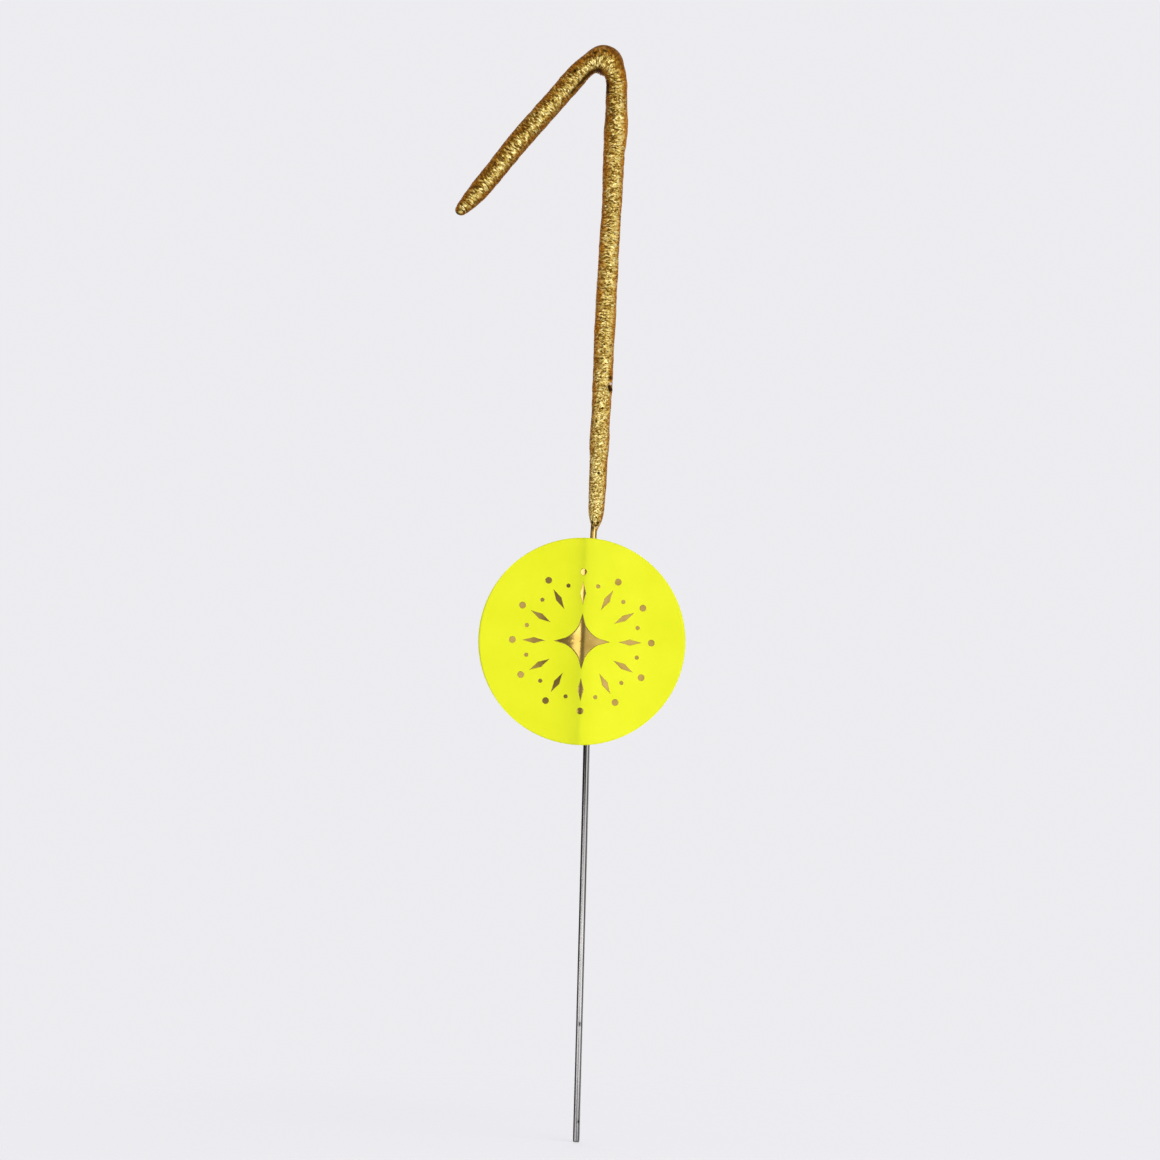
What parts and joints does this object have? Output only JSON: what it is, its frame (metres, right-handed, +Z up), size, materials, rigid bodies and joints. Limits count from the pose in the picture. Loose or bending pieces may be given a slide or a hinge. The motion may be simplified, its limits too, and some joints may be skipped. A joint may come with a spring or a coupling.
{
  "type": "number sparkler",
  "caption": "Steel wire bent into a numeral one, dipped in spark composition and painted gold, with a bare stem to stand it by and a round paper label on the wire.",
  "frame": {"origin": "lower end of the bare stem, on the wire's axis", "axes": "+Z up along the straight stem; the numeral lies in the XZ plane and reads from -Y, the side the label faces; +X is to its right as it is read"},
  "size_m": [0.0395, 0.005, 0.18],
  "materials": {
    "wire_steel": "satin",
    "composition": "matte",
    "gold_paint": "satin",
    "adhesive": "satin",
    "label_paper": "satin"
  },
  "bodies": {
    "root": {"core_wire": "wire_steel", "composition": "composition", "gold_paint": "gold_paint", "label_adhesive": "adhesive", "label": "label_paper"}
  },
  "joints": []
}
